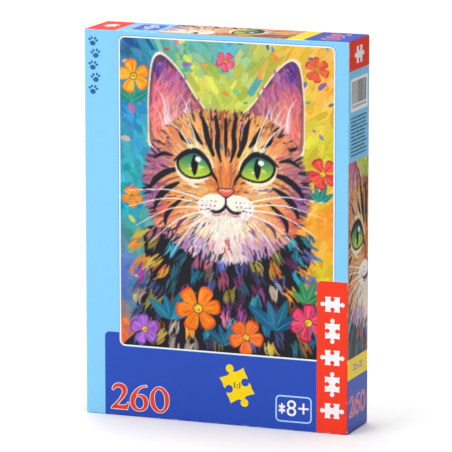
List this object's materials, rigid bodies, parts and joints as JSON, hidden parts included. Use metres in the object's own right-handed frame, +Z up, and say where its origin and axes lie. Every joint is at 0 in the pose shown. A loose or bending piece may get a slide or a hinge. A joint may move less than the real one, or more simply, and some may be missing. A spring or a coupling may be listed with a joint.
{
  "type": "boxed jigsaw puzzle",
  "caption": "Boxed jigsaw puzzle: a printed lid over a full-depth tray that holds a clear bag of loose interlocking pieces, standing on its short edge.",
  "frame": {"origin": "under the middle of the closed box, on the surface that it stands on", "axes": "+X across the front to the right, +Y from the lid's front to the tray's back, +Z up"},
  "size_m": [0.175, 0.037, 0.245],
  "materials": {
    "lid_print": "printed and varnished",
    "tray_paper": "uncoated white",
    "stay_paper": "brown gummed paper",
    "greyboard": "raw greyboard",
    "puzzle_board": "printed on one side, grey board behind",
    "clear_film": "clear film"
  },
  "bodies": {
    "tray": {"tray_board": "greyboard", "tray_cover_paper": "tray_paper", "tray_stay_bottom_left": "stay_paper", "tray_stay_bottom_right": "stay_paper", "tray_stay_top_left": "stay_paper", "tray_stay_top_right": "stay_paper"},
    "lid": {"lid_board": "greyboard", "lid_cover_paper": "lid_print", "lid_stay_bottom_left": "stay_paper", "lid_stay_bottom_right": "stay_paper", "lid_stay_top_left": "stay_paper", "lid_stay_top_right": "stay_paper"},
    "bag": {"bag": "clear_film", "puzzle_row_01": "puzzle_board", "puzzle_row_02": "puzzle_board", "puzzle_row_03": "puzzle_board", "puzzle_row_04": "puzzle_board", "puzzle_row_05": "puzzle_board", "puzzle_row_06": "puzzle_board", "puzzle_row_07": "puzzle_board", "puzzle_row_08": "puzzle_board", "puzzle_row_09": "puzzle_board", "puzzle_row_10": "puzzle_board", "puzzle_row_11": "puzzle_board", "puzzle_row_12": "puzzle_board", "puzzle_row_13": "puzzle_board", "puzzle_row_14": "puzzle_board", "puzzle_row_15": "puzzle_board", "puzzle_row_16": "puzzle_board", "puzzle_row_17": "puzzle_board", "puzzle_row_18": "puzzle_board", "puzzle_row_19": "puzzle_board", "puzzle_row_20": "puzzle_board"}
  },
  "joints": [
    {"name": "lid_lift", "type": "slide", "parent": "tray", "child": "lid", "axis": [0, -1, 0], "range_m": [0, 0.1]},
    {"name": "bag_lift", "type": "slide", "parent": "tray", "child": "bag", "axis": [0, -1, 0], "range_m": [0, 0.045]}
  ],
  "couplings": [
    {"joint": "bag_lift", "follows": "lid_lift", "ratio": 0.45}
  ]
}
